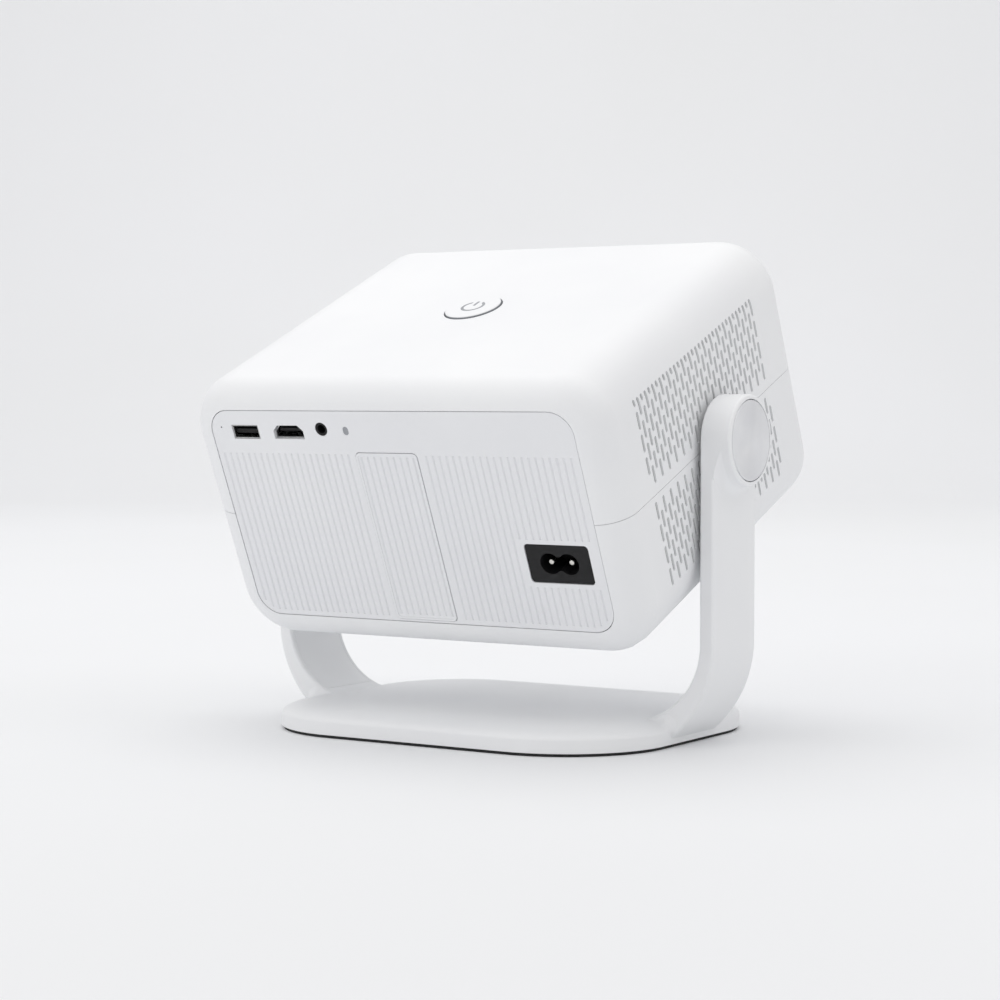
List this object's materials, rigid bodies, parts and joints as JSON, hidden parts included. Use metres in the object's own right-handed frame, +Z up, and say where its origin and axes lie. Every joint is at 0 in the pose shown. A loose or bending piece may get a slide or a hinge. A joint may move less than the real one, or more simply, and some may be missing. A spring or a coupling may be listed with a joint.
{
  "type": "home projector",
  "caption": "Box-shaped home projector head with rounded edges that tilts between the two arms of a low U-shaped stand; ports, mains inlet and ribbed panel at the rear.",
  "frame": {"origin": "on the floor under the base, directly below the centre of the tilt axis", "axes": "+X along the tilt axis towards the arm on the socket side of the head, -Y the way the lens looks (rear sockets face +Y), +Z up"},
  "size_m": [0.22, 0.179, 0.1956],
  "materials": {
    "white_plastic": "fine satin moulded",
    "white_panel": "fine satin moulded",
    "black_plastic": "satin",
    "smoked_plastic": "gloss",
    "grey_mesh": "woven",
    "grey_mark": "satin",
    "rubber": "matte",
    "foam": "open cell",
    "steel": "plated",
    "zinc_cap": "spun satin",
    "aluminium": "extruded",
    "brass": "turned",
    "glass": "coated",
    "lcd": "coated",
    "board": "solder mask",
    "light_pipe": "translucent",
    "nylon": "satin",
    "tape": "wound tape"
  },
  "bodies": {
    "stand": {"arm_cover_left": "white_plastic", "arm_cover_right": "white_plastic", "arm_left": "white_plastic", "arm_right": "white_plastic", "base_pad": "rubber", "base_plate": "steel", "base_screws": "steel", "base_shell": "white_plastic", "friction_washer_left": "nylon", "friction_washer_right": "nylon", "pivot_bolt_left": "steel", "pivot_bolt_right": "steel", "pivot_cap_left": "zinc_cap", "pivot_cap_right": "zinc_cap", "hinge_nuts": "steel", "disc_springs": "steel"},
    "head": {"ac_inlet": "black_plastic", "ac_pins": "steel", "audio_jack": "black_plastic", "bottom_shell": "white_plastic", "button_board": "board", "capacitors": "black_plastic", "condenser_lens": "glass", "door_gasket": "foam", "fan_frame": "black_plastic", "focus_motor": "steel", "fresnel_lenses": "glass", "front_panel": "smoked_plastic", "hdmi_port": "steel", "heat_sink": "aluminium", "hinge_hub_left": "steel", "hinge_hub_right": "steel", "lcd_panel": "lcd", "led_board": "board", "lens_hood": "black_plastic", "lens_sleeve": "black_plastic", "lens_window": "glass", "main_board": "board", "optical_housing": "black_plastic", "port_tongues": "black_plastic", "power_board": "board", "processor_cooler": "aluminium", "rear_panel": "white_panel", "shell_screws": "steel", "speaker_left": "black_plastic", "speaker_right": "black_plastic", "status_led": "light_pipe", "tact_switch": "black_plastic", "top_shell": "white_plastic", "transformer": "tape", "usb_port": "steel", "vent_mesh_left": "grey_mesh", "vent_mesh_right": "grey_mesh"},
    "button": {"power_button": "white_plastic", "power_mark": "grey_mark"},
    "door": {"service_door": "white_panel"},
    "fan": {"fan_rotor": "black_plastic"},
    "lens": {"lens_barrel": "black_plastic", "lens_glass": "glass"},
    "focus_drive": {"focus_screw": "steel"}
  },
  "joints": [
    {"name": "tilt", "type": "hinge", "parent": "stand", "child": "head", "pos_m": [0, 0, 0.11715], "axis": [-1, 0, 0], "range_deg": [-68.4, 111.6]},
    {"name": "power_press", "type": "slide", "parent": "head", "child": "button", "axis": [0, -0.397, -0.9178], "range_m": [0, 0.0008], "stiffness_N_per_m": 250, "springref_m": -0.0006},
    {"name": "door_pull", "type": "slide", "parent": "head", "child": "door", "axis": [0, 0.9178, -0.397], "range_m": [0, 0.03]},
    {"name": "fan_spin", "type": "hinge", "parent": "head", "child": "fan", "pos_m": [0.082, 0.03304, 0.10286], "axis": [1, 0, 0], "continuous": true},
    {"name": "lens_focus", "type": "slide", "parent": "head", "child": "lens", "axis": [0, -0.9178, 0.397], "range_m": [-0.002, 0.002]},
    {"name": "focus_turn", "type": "hinge", "parent": "head", "child": "focus_drive", "pos_m": [0.031, -0.04681, 0.1374], "axis": [0, -0.9178, 0.397], "range_deg": [-370, 370]}
  ],
  "couplings": [
    {"joint": "focus_turn", "follows": "lens_focus", "rad_per_m": 3141.6}
  ]
}
